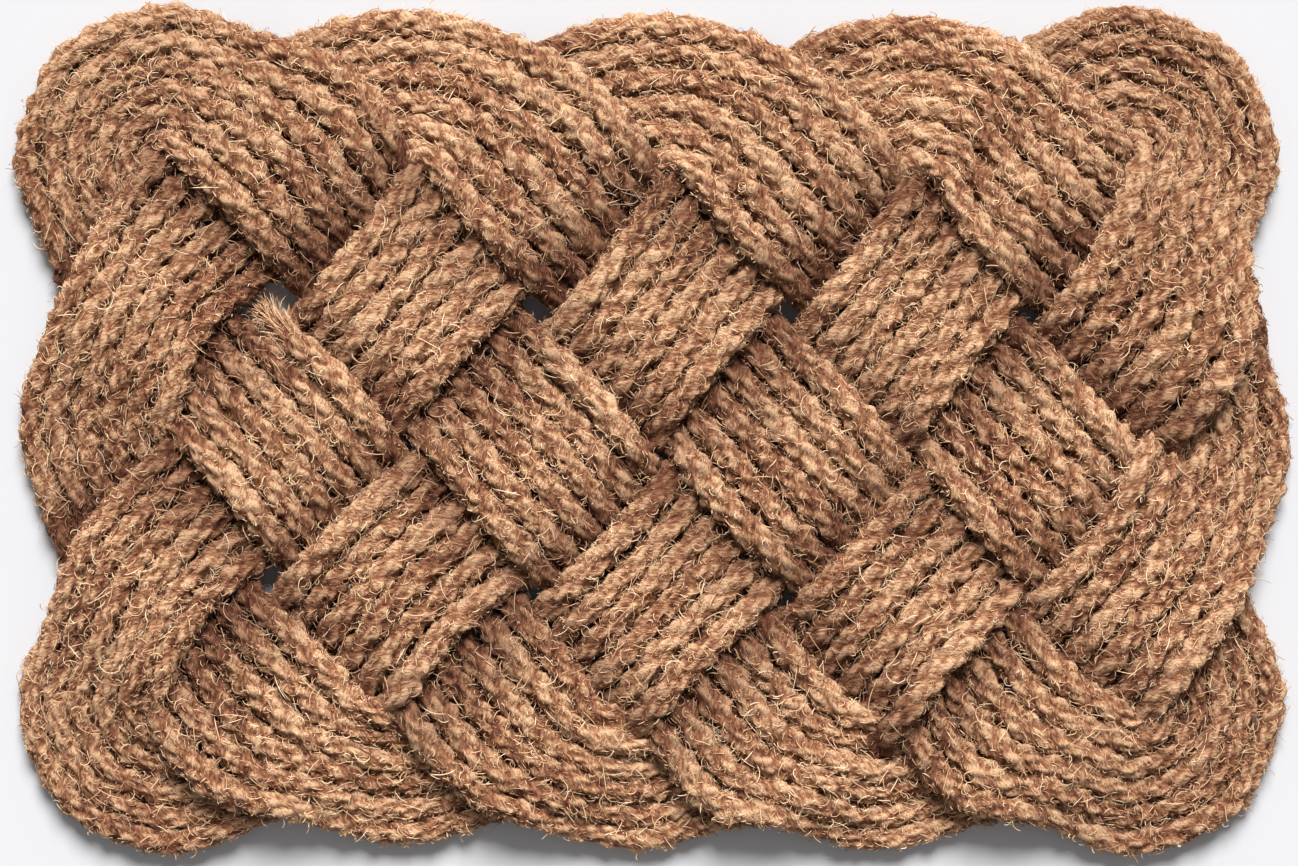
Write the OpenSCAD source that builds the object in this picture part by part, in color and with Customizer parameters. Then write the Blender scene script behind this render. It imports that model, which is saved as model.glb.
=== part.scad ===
// Door mat woven from one coir rope.
// The rope runs six times round one closed track of five bights on each long side and three
// on each short side. The six laps lie side by side as a flat band, which goes over and under
// itself in turn at 22 crossings. Each lap is a node of its own: it moves one lane sideways
// under a crossing and meets the next lap there, end to end. Two twine lashings on the
// underside bind the band where the rope starts and where it finishes.

/* [Mat] */
// Length of the mat, along X
mat_length = 600; // [580:5:640]
// Width of the mat, along Y
mat_width = 400; // [385:5:430]

/* [Rope] */
// Thickness of the coir rope, across its flats
rope_d = 12.4; // [11.4:0.1:12.4]
// Distance between neighbouring laps, centre to centre
lap_pitch = 12.8; // [12.7:0.1:13.2]
// Gap between a band and the band that crosses over it
band_gap = 0.3; // [0.2:0.1:1]

/* [Lashings] */
// Thickness of the lashing twine
twine_d = 1.6; // [1.2:0.1:2]
// Turns of twine in each lashing
twine_turns = 3; // [2:1:5]

/* [Hidden] */

// The track is a billiard path on a grid: one step along X and one along Y at a time.
COLUMNS = 10;
ROWS = 6;
STEPS = COLUMNS * ROWS;
LAPS = 6;
MIDDLE_LANE = (LAPS - 1) / 2;

// Sizes that the places below were chosen at
NOMINAL_LENGTH = 600;
NOMINAL_WIDTH = 400;

// Centre of each crossing and how much wider than its laps the band is there, row by row from
// the back edge, left to right in each row
CROSSINGS = [
    [[-169.5, 135.5, 1.2], [-55, 129, 1.18], [62, 126, 1.13], [175, 124.5, 1.14]],
    [[-237, 65, 0.94], [-115, 60, 1], [5, 55, 1], [121, 55, 1], [241, 57, 1.18]],
    [[-170, -3, 1.07], [-52, -11.5, 1.12], [65, -14, 1.14], [178.5, -15, 1.12]],
    [[-237, -66, 0.94], [-120, -70, 1.04], [2, -79, 1], [121, -78, 1], [233, -75, 1.05]],
    [[-178, -139, 1.16], [-61.5, -141.5, 1.08], [53.5, -146.5, 1.12], [167, -142, 1.14]]
];

// Centre and radius of the band's middle at each bight, and how much the laps draw together
// there; the two bights of a corner share one
BACK_LEFT = [-227.7, 127.7, 37, 0.92];
BACK_RIGHT = [223, 127.7, 37, 0.92];
FRONT_LEFT = [-226, -127.7, 37, 0.92];
FRONT_RIGHT = [225, -127, 37, 0.92];
BACK_BIGHTS = [
    BACK_LEFT, [-118, 94, 67, 0.97], [1, 93, 66, 0.97], [118, 92, 66, 0.97], BACK_RIGHT
];
FRONT_BIGHTS = [
    FRONT_LEFT, [-118, -92, 69, 0.88], [-8, -95, 69, 0.88], [107, -95, 69, 0.88], FRONT_RIGHT
];
LEFT_BIGHTS = [BACK_LEFT, [-219, 2, 42, 0.97], FRONT_LEFT];
RIGHT_BIGHTS = [BACK_RIGHT, [212.8, -5, 50, 0.97], FRONT_RIGHT];

// A bight is three points on its arc, this angle apart and this share of a step apart
BIGHT_ANGLE = 28;
CORNER_ANGLE = 38;
BIGHT_STEP = 0.33;

// Share of a step on each side of a crossing over which the band stays level, before any spread
LEVEL_STEP = 0.42;
MOST_LEVEL_STEP = 0.495;
// Share of a step on each side of a bight's middle over which the band comes down
DROP_STEP = 0.08;

// Each lap moves over to the next lane between these steps, under the first crossing
SHIFT_FROM = STEPS - 0.4;
SHIFT_TO = STEPS + 0.3;
// The rope's two ends: the start shows on the face, the finish is under the first crossing
ROPE_START = 0.47;
ROPE_FINISH = STEPS + 0.12;
// Crossings, by step, whose lower band carries a lashing
FINISH_LASHING_STEP = 0;
START_LASHING_STEP = 2;

SIDES = 8;
rope_corner_r = rope_d / 2 / cos(180 / SIDES);
low_z = rope_d / 2;
high_z = low_z + rope_d + band_gap;
// A lashing lifts its band clear of the floor, and the band above it by as much again
lash_clearance = 0.2;
lash_inner_r = rope_corner_r + lash_clearance;
lash_lift = lash_inner_r + twine_d - low_z;
turn_pitch = 0.9 * twine_d;

COIR = [0.62, 0.45, 0.33];
TWINE = [0.72, 0.58, 0.42];

// ---- The track ----

function bounce(t, n) = n - abs(n - t % (2 * n));
function grid(k) = [bounce(k + 1, COLUMNS), bounce(k + 2, ROWS)];
function wrap(k) = (k + STEPS) % STEPS;
function step_at(k) = grid(wrap(k));

function is_edge(g) = g.x == 0 || g.x == COLUMNS || g.y == 0 || g.y == ROWS;
function is_corner(k) = is_edge(step_at(k)) && (is_edge(step_at(k - 1)) || is_edge(step_at(k + 1)));

// A band that runs from back left to front right is on top in the first, third and fifth rows
function falls_right(k) =
    let (a = step_at(k - 1), b = step_at(k + 1)) (b.x - a.x) * (b.y - a.y) > 0;
function is_over(k) = falls_right(k) == (step_at(k).y % 2 == 1);

// 1 where the track turns left at a bight, and -1 where it turns right
function turn_side(k) =
    let (a = step_at(k - 1), b = step_at(k), c = step_at(k + 1))
    (b.x - a.x) * (b.y - c.y) - (a.y - b.y) * (c.x - b.x) > 0 ? 1 : -1;

function bight(g) =
    g.y == 0 ? BACK_BIGHTS[(g.x - 1) / 2] :
    g.y == ROWS ? FRONT_BIGHTS[(g.x - 1) / 2] :
    g.x == 0 ? LEFT_BIGHTS[(g.y - 1) / 2] :
    RIGHT_BIGHTS[(g.y - 1) / 2];
function outward_angle(g) = g.y == 0 ? 90 : g.y == ROWS ? 270 : g.x == 0 ? 180 : 0;
function crossing(g) = CROSSINGS[g.y - 1][floor((g.x - 1) / 2)];
function crossing_place(g) = [crossing(g).x, crossing(g).y];
function spread(g) = crossing(g).z;

// ---- Lanes: smooth curves through the crossings and round the bights ----

// Each knot is [position along the track in steps, step, place within a bight]
KNOTS = [
    for (k = [0:STEPS - 1])
        for (place = is_edge(step_at(k)) ? [-1, 0, 1] : [0])
            [k + place * BIGHT_STEP, k, place]
];
KNOT_COUNT = len(KNOTS);

function knot(i) = KNOTS[(i + KNOT_COUNT) % KNOT_COUNT];

function bight_point(k, place, lane) =
    let (
        g = step_at(k),
        b = bight(g),
        side = turn_side(k),
        r = b.z - side * (MIDDLE_LANE - lane) * lap_pitch * b[3],
        turn = is_corner(k) ? CORNER_ANGLE : BIGHT_ANGLE,
        angle = outward_angle(g) + side * place * turn
    )
    [b.x + r * cos(angle), b.y + r * sin(angle)];

function middle_point(i) =
    let (n = knot(i), g = step_at(n[1]))
    is_edge(g) ? bight_point(n[1], n[2], MIDDLE_LANE) : crossing_place(g);

function lane_point(i, lane) =
    let (n = knot(i), g = step_at(n[1]))
    is_edge(g) ? bight_point(n[1], n[2], lane) :
    let (
        along = middle_point(i + 1) - middle_point(i - 1),
        left = [-along.y, along.x] / norm(along)
    )
    crossing_place(g) + (MIDDLE_LANE - lane) * lap_pitch * spread(g) * left;

// Centripetal Catmull-Rom curve from b to c, with a and d as its outer neighbours
function curve(a, b, c, d, t) =
    let (
        ab = sqrt(norm(b - a)),
        bc = sqrt(norm(c - b)),
        cd = sqrt(norm(d - c)),
        m1 = bc * ((b - a) / ab - (c - a) / (ab + bc)) + (c - b),
        m2 = bc * ((d - c) / cd - (d - b) / (bc + cd)) + (c - b)
    )
    (2 * t ^ 3 - 3 * t ^ 2 + 1) * b + (t ^ 3 - 2 * t ^ 2 + t) * m1
    + (3 * t ^ 2 - 2 * t ^ 3) * c + (t ^ 3 - t ^ 2) * m2;

function last_knot_before(u) = max([for (i = [0:KNOT_COUNT - 1]) if (KNOTS[i][0] <= u) i]);

function lane_place(u, lane) =
    let (
        w = u % STEPS,
        i = last_knot_before(w),
        start = KNOTS[i][0],
        end = i == KNOT_COUNT - 1 ? STEPS : KNOTS[i + 1][0],
        p = curve(
            lane_point(i - 1, lane), lane_point(i, lane),
            lane_point(i + 1, lane), lane_point(i + 2, lane),
            (w - start) / (end - start)
        )
    )
    [p.x * mat_length / NOMINAL_LENGTH, p.y * mat_width / NOMINAL_WIDTH];

// ---- Heights ----

function is_lashed(g) = g == grid(FINISH_LASHING_STEP) || g == grid(START_LASHING_STEP);
function level(k) =
    let (lift = is_lashed(step_at(k)) ? lash_lift : 0)
    is_over(k) ? high_z + 2 * lift : low_z + lift;

function level_step(k) = min(MOST_LEVEL_STEP, LEVEL_STEP * spread(step_at(k)));

// Stops along the track, as [position, height], between which the band runs straight
function is_high_before(k) = is_over(k - 1);
function stops(k) =
    !is_edge(step_at(k)) ? [[k - level_step(k), level(k)], [k + level_step(k), level(k)]] :
    is_corner(k) ? [[k, is_corner(k - 1) ? (is_over(k + 1) ? high_z : low_z)
                                         : (is_high_before(k) ? high_z : low_z)]] :
    let (before = is_high_before(k) ? high_z : low_z)
    [[k - DROP_STEP, before], [k + DROP_STEP, high_z + low_z - before]];
STOPS = [for (k = [0:STEPS + 1]) each stops(k)];

function height(u) = lookup(u, STOPS);

// ---- Laps ----

// Ring positions of one step: more where the band turns, fewer where it runs straight
function near_bight(k) = is_edge(step_at(k - 1)) || is_edge(step_at(k + 1));
function ring_steps(k) =
    is_edge(step_at(k)) ? [k - BIGHT_STEP, k - DROP_STEP, k, k + DROP_STEP, k + BIGHT_STEP] :
    near_bight(k) ? [k - level_step(k), k, k + level_step(k)] :
    [k - level_step(k), k + level_step(k)];

function lap_start(lap) = lap == 0 ? ROPE_START : SHIFT_TO - STEPS;
function lap_end(lap) = lap == LAPS - 1 ? ROPE_FINISH : SHIFT_TO;
function lap_lane(lap, u) = lap + max(0, min(1, (u - SHIFT_FROM) / (SHIFT_TO - SHIFT_FROM)));

TRACK_RINGS = [for (k = [0:STEPS]) each ring_steps(k)];
MIN_RING_GAP = 0.05;
function lap_rings(lap) = [
    lap_start(lap),
    for (u = TRACK_RINGS)
        if (u > lap_start(lap) + MIN_RING_GAP && u < lap_end(lap) - MIN_RING_GAP) u,
    lap_end(lap)
];

function lap_place(lap, u) = lane_place(u, lap_lane(lap, u));

// The rope is narrower where its neighbours press against it, with this much between them
LAP_CLEARANCE = 0.1;
function room(lap, u, p, left) = min([
    for (side = [-1, 1])
        abs((lane_place(u, lap_lane(lap, u) + side) - p) * left) / 2
]) - LAP_CLEARANCE / 2;

TANGENT_STEP = 0.02;
function ring(lap, u) =
    let (
        p = lap_place(lap, u),
        along = lap_place(lap, u + TANGENT_STEP) - lap_place(lap, u - TANGENT_STEP),
        left = [-along.y, along.x] / norm(along),
        narrowing = min(1, room(lap, u, p, left) / (rope_d / 2))
    )
    [
        for (i = [0:SIDES - 1])
            let (
                angle = (i + 0.5) * 360 / SIDES,
                across = rope_corner_r * cos(angle) * narrowing
            )
            [p.x + across * left.x, p.y + across * left.y, height(u) + rope_corner_r * sin(angle)]
    ];

// A closed tube through rings of SIDES points each
module tube(rings) {
    last = len(rings) - 1;
    points = [for (r = rings) each r];
    sides = [
        for (j = [0:last - 1], i = [0:SIDES - 1])
            let (
                a = j * SIDES + i,
                b = j * SIDES + (i + 1) % SIDES,
                c = a + SIDES,
                d = b + SIDES
            )
            each [[a, d, b], [a, c, d]]
    ];
    start_cap = [for (i = [0:SIDES - 1]) i];
    end_cap = [for (i = [0:SIDES - 1]) (last + 1) * SIDES - 1 - i];
    polyhedron(points, concat(sides, [start_cap, end_cap]));
}

module rope_lap(number) {
    lap = number - 1;
    color(COIR) tube([for (u = lap_rings(lap)) ring(lap, u)]);
}

// ---- Lashings ----

// One turn of twine round a flat band, in the plane across it
module lashing_turn(half_width) {
    r = lash_inner_r + twine_d / 2;
    for (side = [-1, 1]) {
        translate([side * half_width, 0, 0])
            rotate([0, 0, side * 90 - 180])
            rotate_extrude(angle = 180) translate([r, 0]) circle(d = twine_d);
        translate([0, side * r, 0])
            rotate([0, 90, 0]) cylinder(h = 2 * half_width, d = twine_d, center = true);
    }
}

// The turns of one lashing, round all the laps where they pass under a crossing
module lashing(step, middle_lane) {
    half_width = MIDDLE_LANE * lap_pitch * spread(step_at(step));
    p = lane_place(step, middle_lane);
    along = lane_place(step + TANGENT_STEP, middle_lane) - lane_place(step, middle_lane);
    color(TWINE)
        translate([p.x, p.y, level(step)])
        rotate([0, 0, atan2(along.y, along.x)])
        for (i = [0:twine_turns - 1])
            translate([(i - (twine_turns - 1) / 2) * turn_pitch, 0, 0])
            rotate([90, 0, 90]) lashing_turn(half_width);
}

module lashing_start() lashing(START_LASHING_STEP, MIDDLE_LANE);
module lashing_finish()
    lashing(FINISH_LASHING_STEP, MIDDLE_LANE + (STEPS - SHIFT_FROM) / (SHIFT_TO - SHIFT_FROM));

rope_lap(1);  // rope_lap_1
rope_lap(2);  // rope_lap_2
rope_lap(3);  // rope_lap_3
rope_lap(4);  // rope_lap_4
rope_lap(5);  // rope_lap_5
rope_lap(6);  // rope_lap_6
lashing_start();
lashing_finish();
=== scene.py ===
"""A door mat woven from one coir rope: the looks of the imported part, with its floor, light and camera."""

from math import cos, pi, radians, sin, sqrt, tau

import bpy
import numpy as np
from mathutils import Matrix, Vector


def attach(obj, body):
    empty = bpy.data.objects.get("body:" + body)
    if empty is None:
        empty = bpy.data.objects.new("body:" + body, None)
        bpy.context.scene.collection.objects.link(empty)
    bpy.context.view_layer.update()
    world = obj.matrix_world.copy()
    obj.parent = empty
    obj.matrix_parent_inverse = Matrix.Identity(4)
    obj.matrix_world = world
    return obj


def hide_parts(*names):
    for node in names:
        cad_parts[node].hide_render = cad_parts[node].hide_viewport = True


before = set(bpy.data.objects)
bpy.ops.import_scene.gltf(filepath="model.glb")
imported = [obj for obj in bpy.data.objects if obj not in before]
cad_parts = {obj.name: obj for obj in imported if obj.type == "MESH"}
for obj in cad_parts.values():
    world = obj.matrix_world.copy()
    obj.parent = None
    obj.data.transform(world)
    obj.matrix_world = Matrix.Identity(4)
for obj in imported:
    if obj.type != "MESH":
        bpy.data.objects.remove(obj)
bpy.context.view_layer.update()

MM = 0.001
SEED = 5

# ---- The weave, as the CAD part has it ----

COLUMNS = 10
ROWS = 6
STEPS = COLUMNS * ROWS
LAPS = 6
MIDDLE_LANE = (LAPS - 1) / 2
LAP_PITCH = 12.8 * MM

# Centre of each crossing in millimetres and how much wider than its laps the band is there,
# row by row from the back edge
CROSSINGS = [
    [(-169.5, 135.5, 1.2), (-55, 129, 1.18), (62, 126, 1.13), (175, 124.5, 1.14)],
    [(-237, 65, 0.94), (-115, 60, 1), (5, 55, 1), (121, 55, 1), (241, 57, 1.18)],
    [(-170, -3, 1.07), (-52, -11.5, 1.12), (65, -14, 1.14), (178.5, -15, 1.12)],
    [(-237, -66, 0.94), (-120, -70, 1.04), (2, -79, 1), (121, -78, 1), (233, -75, 1.05)],
    [(-178, -139, 1.16), (-61.5, -141.5, 1.08), (53.5, -146.5, 1.12), (167, -142, 1.14)],
]

# Centre and radius in millimetres of the band's middle at each bight, and how much the laps
# draw together there
BACK_LEFT = (-227.7, 127.7, 37, 0.92)
BACK_RIGHT = (223, 127.7, 37, 0.92)
FRONT_LEFT = (-226, -127.7, 37, 0.92)
FRONT_RIGHT = (225, -127, 37, 0.92)
BACK_BIGHTS = [BACK_LEFT, (-118, 94, 67, 0.97), (1, 93, 66, 0.97), (118, 92, 66, 0.97), BACK_RIGHT]
FRONT_BIGHTS = [
    FRONT_LEFT, (-118, -92, 69, 0.88), (-8, -95, 69, 0.88), (107, -95, 69, 0.88), FRONT_RIGHT
]
LEFT_BIGHTS = [BACK_LEFT, (-219, 2, 42, 0.97), FRONT_LEFT]
RIGHT_BIGHTS = [BACK_RIGHT, (212.8, -5, 50, 0.97), FRONT_RIGHT]

# A bight goes this many degrees and this part of a step either way from its middle
BIGHT_ANGLE = 28
CORNER_ANGLE = 38
BIGHT_STEP = 0.33

# At the end of each lap the rope moves over to the next lane between these steps
SHIFT_FROM = STEPS - 0.4
SHIFT_TO = STEPS + 0.3

# Where the rope starts and finishes, in steps through all its laps, and the crossings lashed
ROPE_START = 0.47
ROPE_FINISH = LAPS * STEPS + 0.12
FINISH_LASHING_STEP = 0
START_LASHING_STEP = 2

# ---- The rope ----

# ROPE_R is half the usual distance that laps keep. A lay is the length of one full twist
ROPE_R = 6.4 * MM
STRANDS = 3
YARNS = 4
ROPE_LAY = 42 * MM
YARN_LAY = 30 * MM

# The yarns stand YARN_OUT from the middle of their strand, and the strands STRAND_OUT from the
# rope's. The outline is never nearer than CORE_R, and FULLNESS swells it so that laps press together
STRAND_OUT = 2.8 * MM
YARN_OUT = 2.75 * MM
YARN_R = 1.45 * MM
CORE_R = 5.1 * MM
FULLNESS = 1.065

# Radii that get the colours of the pits between the yarns and of the yarns' tops, the pits' colour being
# painted shade
PIT_R = 4.6 * MM
CREST_R = 6.45 * MM

# Length of the frayed start, and the share of the rope's thickness that is left at its very end
FRAY_LENGTH = 22 * MM
FRAYED_SHARE = 0.55

# Random changes along the rope, each as (how much, distance from one change to the next)
SWAYS = [(0.5 * MM, 70 * MM), (0.5 * MM, 22 * MM)]
LIFTS = [(0.8 * MM, 80 * MM), (0.5 * MM, 18 * MM)]
STRAND_DRIFT = (0.35, 40 * MM)
YARN_DRIFT = (0.5, 30 * MM)
YARN_LUMPS = (0.33, 4 * MM)
THICKER_STRETCHES = (0.035, 45 * MM)
PALER_STRETCHES = (0.29, 30 * MM)

# Height of the surface's fine roughness, and its width in rings
GRAIN = 0.85 * MM
GRAIN_WIDTH = 0.7

RING_STEP = 1.68 * MM
SIDES = 34
SIDE_ANGLES = (np.arange(SIDES) + 0.5) * tau / SIDES

# Guards divisions by zero
TINY = 1e-12


def bounce(t, n):
    """Place at time t of a point that goes to and fro between 0 and n, one unit at a time."""
    return n - abs(n - t % (2 * n))


def grid(k):
    """The place of a step of the track on the grid, which the track bounces round."""
    k %= STEPS
    return bounce(k + 1, COLUMNS), bounce(k + 2, ROWS)


def is_edge(g):
    """Whether that place of the grid is at a bight, and not at a crossing."""
    return g[0] in (0, COLUMNS) or g[1] in (0, ROWS)


def is_corner(k):
    """Whether step k is one of the two bights that make a corner of the mat."""
    return is_edge(grid(k)) and (is_edge(grid(k - 1)) or is_edge(grid(k + 1)))


def is_over(k):
    """Whether the band passes over the one that it crosses at step k."""
    (ax, ay), (bx, by) = grid(k - 1), grid(k + 1)
    falls_right = (bx - ax) * (by - ay) > 0
    return falls_right == (grid(k)[1] % 2 == 1)


def turn_side(k):
    """1 where the track turns left at a bight, and -1 where it turns right."""
    (ax, ay), (bx, by), (cx, cy) = grid(k - 1), grid(k), grid(k + 1)
    return 1 if (bx - ax) * (by - cy) - (ay - by) * (cx - bx) > 0 else -1


def bight(g):
    """Centre, radius and squeeze of the bight at that place of the grid."""
    x, y = g
    if y == 0:
        return BACK_BIGHTS[(x - 1) // 2]
    if y == ROWS:
        return FRONT_BIGHTS[(x - 1) // 2]
    if x == 0:
        return LEFT_BIGHTS[(y - 1) // 2]
    return RIGHT_BIGHTS[(y - 1) // 2]


def outward_angle(g):
    """The way out of the mat at a bight, in degrees anticlockwise from the right."""
    x, y = g
    return 90 if y == 0 else 270 if y == ROWS else 180 if x == 0 else 0


def crossing(g):
    """Place of the middle of a crossing, and how much wider than its laps the band is there."""
    x, y, spread = CROSSINGS[g[1] - 1][(g[0] - 1) // 2]
    return np.array((x, y)) * MM, spread


# Each knot is (position along the track in steps, step, place within a bight)
KNOTS = [
    (k + place * BIGHT_STEP, k, place)
    for k in range(STEPS)
    for place in ((-1, 0, 1) if is_edge(grid(k)) else (0,))
]


def bight_point(k, place, lane):
    """Where a lane is at the bight of step k: at its start (-1), middle (0) or end (1)."""
    g = grid(k)
    x, y, r, squeeze = bight(g)
    side = turn_side(k)
    turn = CORNER_ANGLE if is_corner(k) else BIGHT_ANGLE
    r = r * MM - side * (MIDDLE_LANE - lane) * LAP_PITCH * squeeze
    angle = radians(outward_angle(g) + side * place * turn)
    return np.array((x * MM + r * cos(angle), y * MM + r * sin(angle)))


def middle_point(i):
    """The middle of the band at knot i."""
    _, k, place = KNOTS[i % len(KNOTS)]
    g = grid(k)
    return bight_point(k, place, MIDDLE_LANE) if is_edge(g) else crossing(g)[0]


def lane_point(i, lane):
    """Where a lane is at knot i."""
    _, k, place = KNOTS[i % len(KNOTS)]
    g = grid(k)
    if is_edge(g):
        return bight_point(k, place, lane)
    along = middle_point(i + 1) - middle_point(i - 1)
    left = np.array((-along[1], along[0])) / np.hypot(*along)
    middle, spread = crossing(g)
    return middle + (MIDDLE_LANE - lane) * LAP_PITCH * spread * left


def curve(a, b, c, d, t):
    """Centripetal Catmull-Rom curve from b to c, with a and d as its outer neighbours."""
    ab, bc, cd = (sqrt(np.hypot(*(q - p))) for p, q in ((a, b), (b, c), (c, d)))
    m1 = bc * ((b - a) / ab - (c - a) / (ab + bc)) + (c - b)
    m2 = bc * ((d - c) / cd - (d - b) / (bc + cd)) + (c - b)
    t = t[:, None]
    return (
        (2 * t**3 - 3 * t**2 + 1) * b + (t**3 - 2 * t**2 + t) * m1
        + (3 * t**2 - 2 * t**3) * c + (t**3 - t**2) * m2
    )


LANE_SAMPLES = 40


def lane_table(lane):
    """One lap of a lane as (positions along the track in steps, points)."""
    steps, points = [], []
    share = np.arange(LANE_SAMPLES) / LANE_SAMPLES
    for i, knot in enumerate(KNOTS):
        end = KNOTS[i + 1][0] if i + 1 < len(KNOTS) else STEPS + KNOTS[0][0]
        steps.append(knot[0] + (end - knot[0]) * share)
        neighbours = [lane_point(i + j, lane) for j in (-1, 0, 1, 2)]
        points.append(curve(*neighbours, share))
    return np.concatenate(steps), np.concatenate(points)


LANES = [lane_table(lane) for lane in range(LAPS + 1)]


def lane_place(lane, u):
    """Plan position of a lane at each u."""
    steps, points = LANES[lane]
    return np.stack([np.interp(u, steps, points[:, i], period=STEPS) for i in (0, 1)], axis=1)


def track_place(u):
    """Plan position of the rope at u, counted in steps on from the track's start through all the laps."""
    lap = np.clip(np.floor((u - (SHIFT_TO - STEPS)) / STEPS), 0, LAPS - 1).astype(int)
    shift = np.clip((u - lap * STEPS - SHIFT_FROM) / (SHIFT_TO - SHIFT_FROM), 0, 1)
    place = np.zeros((len(u), 2))
    for lane in range(LAPS):
        on = lap == lane
        w = shift[on][:, None]
        place[on] = (1 - w) * lane_place(lane, u[on]) + w * lane_place(lane + 1, u[on])
    return place, lap


MEASURING_STEP = 0.01


def even_track(spacing):
    """Track positions at an even spacing in metres, from the rope's start to its finish."""
    u = np.arange(ROPE_START, ROPE_FINISH, MEASURING_STEP)
    place, _ = track_place(u)
    length = np.concatenate([[0], np.cumsum(np.hypot(*np.diff(place, axis=0).T))])
    count = int(length[-1] / spacing) + 1
    return np.interp(np.linspace(0, length[-1], count), length, u)


# ---- Heights: the rope rests on the floor and on the laps that it crosses ----

# Height between two laps that cross, and of a lap on the floor. Both press the rope a little flat
CONTACT = 0.93 * 2 * ROPE_R
FLOOR_Z = 0.96 * ROPE_R

# In each round the rope straightens by the share STIFFNESS, sags, and is pushed apart where it
# crosses itself, the upper pass by the share UPPER_GIVES and the lower one by the rest
SETTLE_SPACING = 4 * MM
SETTLE_ROUNDS = 500
STIFFNESS = 0.5
SAG_PER_ROUND = 0.03 * MM
UPPER_GIVES = 0.6
SETTLED_SMOOTHING = 1.5

# How many steps a crossing reaches either way, and a lashing, which keeps the rope off the floor
CROSSING_REACH = 0.97
LASHING_REACH = 0.1
TWINE_R = 0.8 * MM


def steps_apart(u, k):
    """Steps along the track, whichever way is shorter, from u to step k of any lap."""
    return np.abs((u - k + STEPS / 2) % STEPS - STEPS / 2)


def crossings_of(u, place):
    """Where the rope crosses over itself: upper and lower sample before each, and share to the next."""
    found = []
    for row in range(1, ROWS):
        for column in range(1, COLUMNS):
            if (row + column) % 2 == 0:
                continue
            passes = [k for k in range(STEPS) if grid(k) == (column, row)]
            over = next(k for k in passes if is_over(k))
            under = next(k for k in passes if not is_over(k))
            near = [np.where(steps_apart(u[:-1], k) < CROSSING_REACH)[0] for k in (over, under)]
            found.append(segment_hits(place, *near))
    return [np.concatenate(column) for column in zip(*found)]


def segment_hits(place, upper, lower):
    """Hits between two sets of the rope's segments, each starting at the sample given."""
    p = place[upper][:, None]
    r = place[upper + 1][:, None] - p
    q = place[lower][None]
    s = place[lower + 1][None] - q
    cross = r[..., 0] * s[..., 1] - r[..., 1] * s[..., 0]
    cross[np.abs(cross) < TINY] = TINY
    gap = q - p
    a = (gap[..., 0] * s[..., 1] - gap[..., 1] * s[..., 0]) / cross
    b = (gap[..., 0] * r[..., 1] - gap[..., 1] * r[..., 0]) / cross
    i, j = np.where((a >= 0) & (a < 1) & (b >= 0) & (b < 1))
    return upper[i], a[i, j], lower[j], b[i, j]


def push(z, at, share, move):
    """Moves the rope by move where each hit is, shared between the samples on each side of it."""
    total = np.zeros_like(z)
    weight = np.zeros_like(z)
    for sample, part in ((at, 1 - share), (at + 1, share)):
        np.add.at(total, sample, part * move)
        np.add.at(weight, sample, part)
    return z + total / np.maximum(weight, 1)


def settle(u, place):
    """Height of the rope's middle at each sample once it has come to rest."""
    over, over_share, under, under_share = crossings_of(u, place)
    lowest = np.full(len(u), FLOOR_Z)
    for k in (FINISH_LASHING_STEP, START_LASHING_STEP):
        lowest[steps_apart(u, k) < LASHING_REACH] = ROPE_R + 2 * TWINE_R
    z = np.full(len(u), FLOOR_Z)
    for _ in range(SETTLE_ROUNDS):
        z[1:-1] += STIFFNESS * ((z[:-2] + z[2:]) / 2 - z[1:-1])
        z = np.maximum(z - SAG_PER_ROUND, lowest)
        upper = z[over] * (1 - over_share) + z[over + 1] * over_share
        below = z[under] * (1 - under_share) + z[under + 1] * under_share
        short = np.maximum(CONTACT - (upper - below), 0)
        z = push(z, over, over_share, short * UPPER_GIVES)
        z = push(z, under, under_share, -short * (1 - UPPER_GIVES))
        z = np.maximum(z, lowest)
    return smooth(z, SETTLED_SMOOTHING)


def resting_height(u):
    """Height of the rope's middle at each place along the track."""
    coarse = even_track(SETTLE_SPACING)
    place, _ = track_place(coarse)
    return np.interp(u, coarse, settle(coarse, place))


def smooth(values, width):
    """values averaged along their first axis with a bell of that width in samples."""
    reach = int(3 * width) + 1
    bell = np.exp(-0.5 * (np.arange(-reach, reach + 1) / width) ** 2)
    bell /= bell.sum()
    padded = np.pad(values, [(reach, reach)] + [(0, 0)] * (values.ndim - 1), mode="edge")
    return sum(w * padded[i : i + len(values)] for i, w in enumerate(bell))


def wander(s, change, rng):
    """Smooth random values at each length s, between about minus and plus the change's amount."""
    amount, spacing = change
    values = rng.uniform(-1, 1, int(s[-1] / spacing) + 3)
    t = s / spacing
    i = np.floor(t).astype(int)
    f = t - i
    f = f * f * (3 - 2 * f)
    return amount * (values[i] * (1 - f) + values[i + 1] * f)


# ---- The rope's middle line and surface ----

# Painted shade darkens the colour where shade falls, from 0 on a crown up to the darkest given below.
# The gap between two laps paints in shade up to the gap's amount, and the outer side of a band only a share
# of that
GAP_PAINTED_SHADE = 0.5
GAP_POWER = 1.5
OUTSIDE_SHARE = 0.3
# Painted shade in the low bights at the mat's corners and short sides
END_PAINTED_SHADE = 0.22
DARKEST_PAINTED_SHADE = 1.15

# Painted shade also darkens the rope towards a crossing band, from COVERED_FROM steps away and over
# COVERED_STEPS. FACE_BLEND is how sharply the rope's upper side gives way to its lower one
COVERED_FROM = 0.9
COVERED_STEPS = 0.45
COVERED_POWER = 1.5
FACE_BLEND = 1.5

# Keeps every place on the rope short of its last ring
RING_MARGIN = 0.001


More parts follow.
